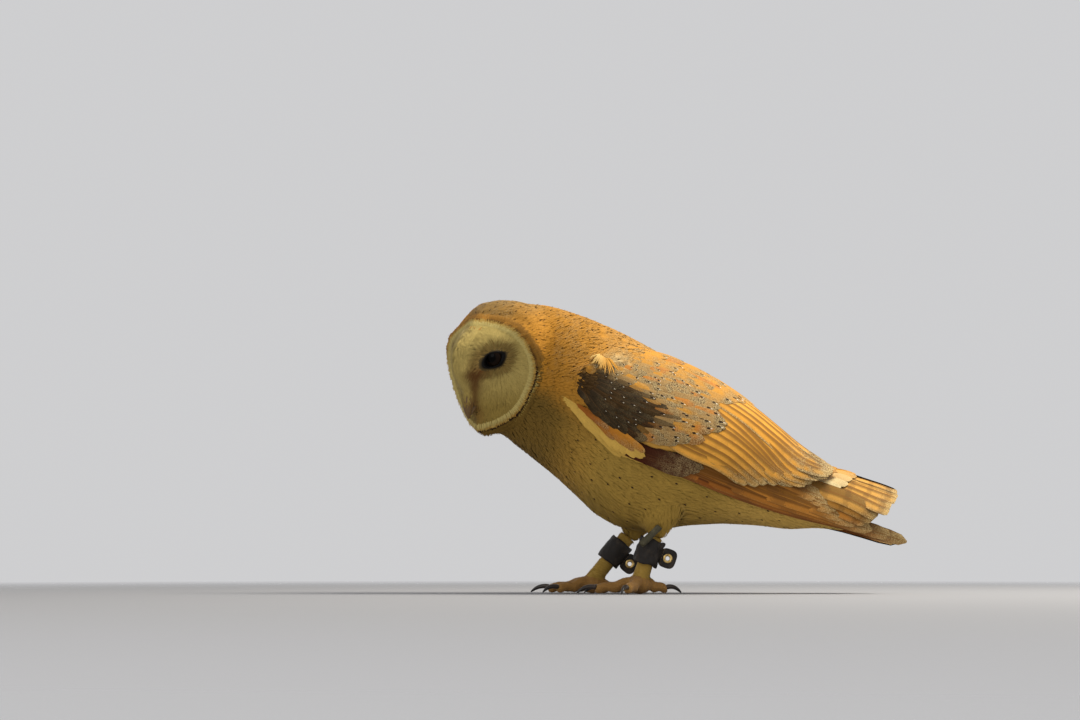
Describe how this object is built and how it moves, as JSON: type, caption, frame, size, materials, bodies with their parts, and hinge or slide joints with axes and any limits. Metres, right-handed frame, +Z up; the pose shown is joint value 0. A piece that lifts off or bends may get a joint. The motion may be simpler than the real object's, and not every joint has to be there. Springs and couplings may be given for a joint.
{
  "type": "barn owl model",
  "caption": "Life-size standing barn owl model, wings folded, face turned to its left, wearing leather anklets with brass eyelets.",
  "frame": {"origin": "on the ground, at the middle of the bounding box seen from above", "axes": "+Z up; the owl faces -Y, towards its feet's middle toes; its left side is +X"},
  "size_m": [0.1218, 0.3308, 0.2131],
  "materials": {
    "face": "soft short feathers, matte",
    "plumage_gold": "overlapping contour feathers, matte with a slight sheen",
    "plumage_cream": "loose soft feathers, matte",
    "plumage_flight": "firm barred vanes, matte with a slight sheen",
    "eye": "wet, clear and glossy over a black iris",
    "bill": "smooth horn, satin",
    "foot_skin": "small scales and bristles, matte",
    "claw": "smooth horn, satin",
    "anklet_leather": "worn, creased, slightly shiny on the edges",
    "eyelet": "worn satin",
    "strap_leather": "rolled, greyish green, matte"
  },
  "bodies": {
    "root": {"head": "face", "neck": "plumage_gold", "trunk": "plumage_cream", "tail": "plumage_flight", "eye_left": "eye", "eye_right": "eye", "bill_upper": "bill", "bill_lower": "bill", "wing_left": "plumage_gold", "primaries_left": "plumage_flight", "thigh_left": "plumage_cream", "shank_left": "plumage_cream", "foot_left": "foot_skin", "claw_left_inner": "claw", "claw_left_middle": "claw", "claw_left_outer": "claw", "claw_left_hind": "claw", "anklet_left": "anklet_leather", "eyelet_left": "eyelet", "wing_right": "plumage_gold", "primaries_right": "plumage_flight", "thigh_right": "plumage_cream", "shank_right": "plumage_cream", "foot_right": "foot_skin", "claw_right_inner": "claw", "claw_right_middle": "claw", "claw_right_outer": "claw", "claw_right_hind": "claw", "anklet_right": "anklet_leather", "eyelet_right": "eyelet", "strap_roll_left": "strap_leather"}
  },
  "joints": []
}
